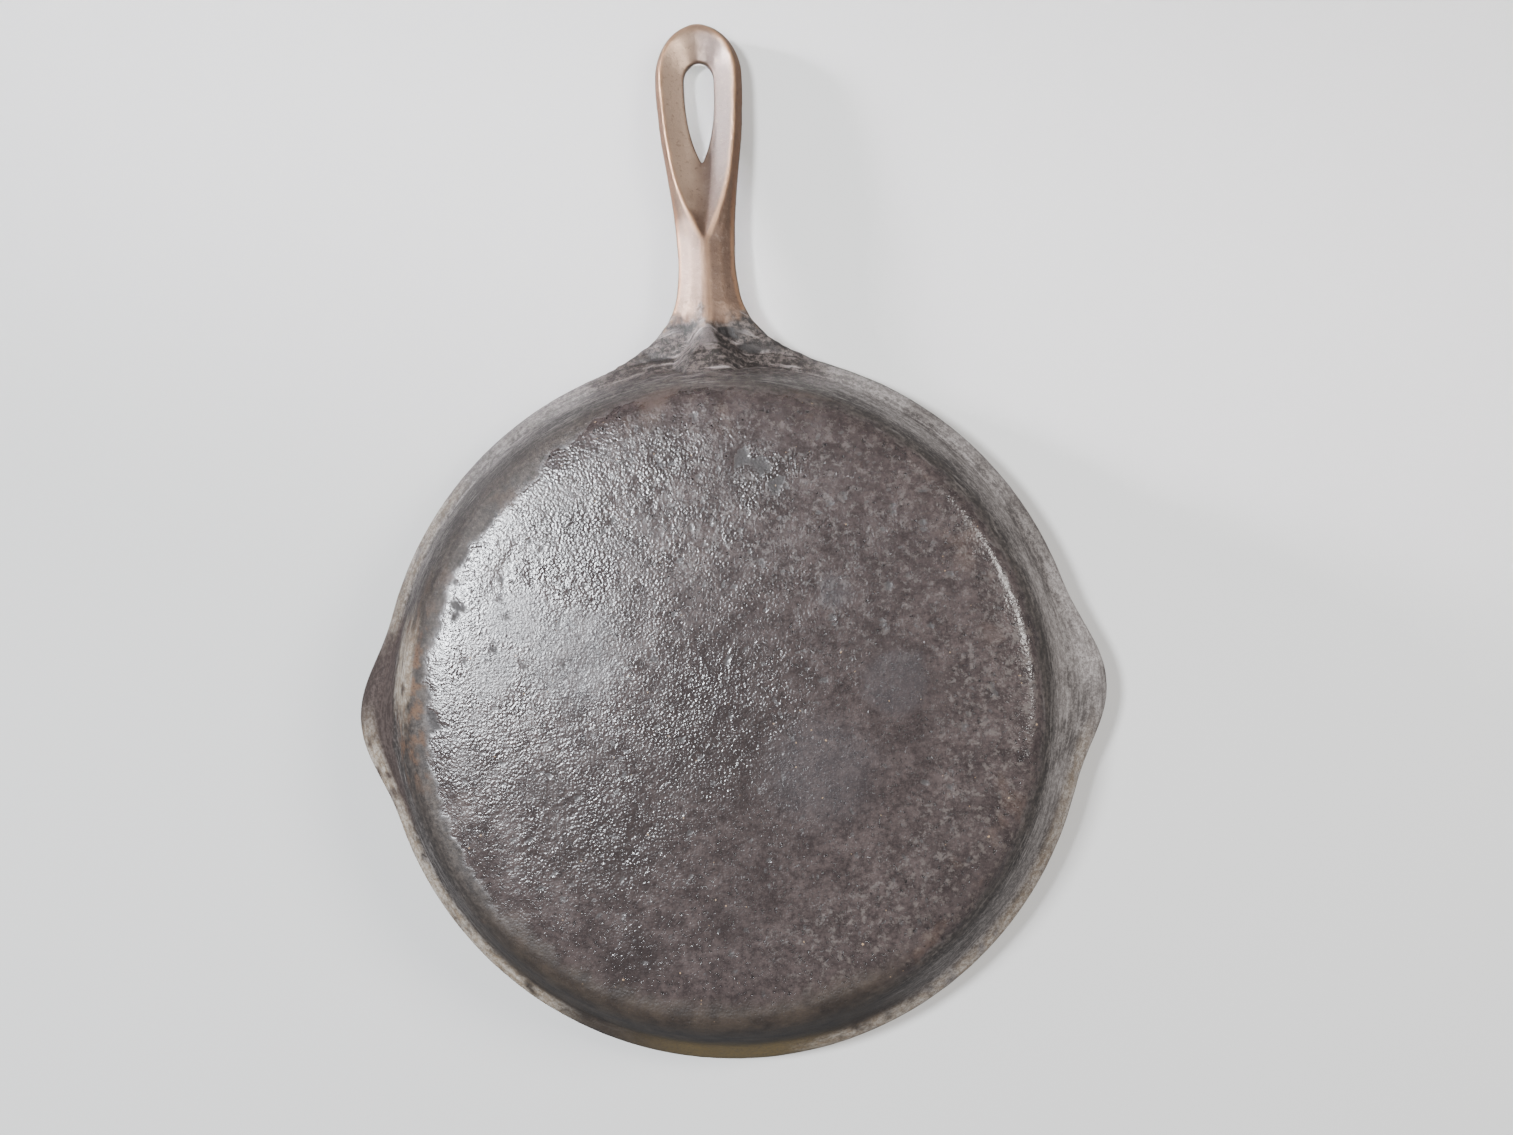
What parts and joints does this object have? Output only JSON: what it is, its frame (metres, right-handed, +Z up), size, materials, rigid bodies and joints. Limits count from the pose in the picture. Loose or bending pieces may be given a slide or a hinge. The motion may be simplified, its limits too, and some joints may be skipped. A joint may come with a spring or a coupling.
{
  "type": "cast iron skillet",
  "caption": "Round cast iron skillet with flared wall, raised rim band, two pour spouts and a ridged handle with a teardrop hanging eye",
  "frame": {"origin": "centre of the flat base, on the surface that the skillet stands on", "axes": "+Z is up, out of the pan's opening; -Y runs along the handle; the pour spouts point along -X (left) and +X (right)"},
  "size_m": [0.2844, 0.3983, 0.0577],
  "materials": {
    "carbonised_base": "near-black carbonised crust, pebbly, with a dull gloss",
    "worn_heel": "brown, worn and blotchy",
    "streaked_wall": "dark grey, streaked round the wall, matte",
    "bare_rim": "pale grey bare iron, matte",
    "chalky_spout": "pale chalky grey, matte",
    "seasoned_handle": "dark bronze-brown seasoning, satin, brighter along the crests"
  },
  "bodies": {
    "root": {"pan_floor": "carbonised_base", "base_heel": "worn_heel", "side_wall": "streaked_wall", "rim_band_handle_side": "bare_rim", "rim_band_far_side": "bare_rim", "pour_spout_left": "chalky_spout", "pour_spout_right": "chalky_spout", "handle_root": "seasoned_handle", "handle_neck": "seasoned_handle", "handle_loop": "seasoned_handle"}
  },
  "joints": []
}
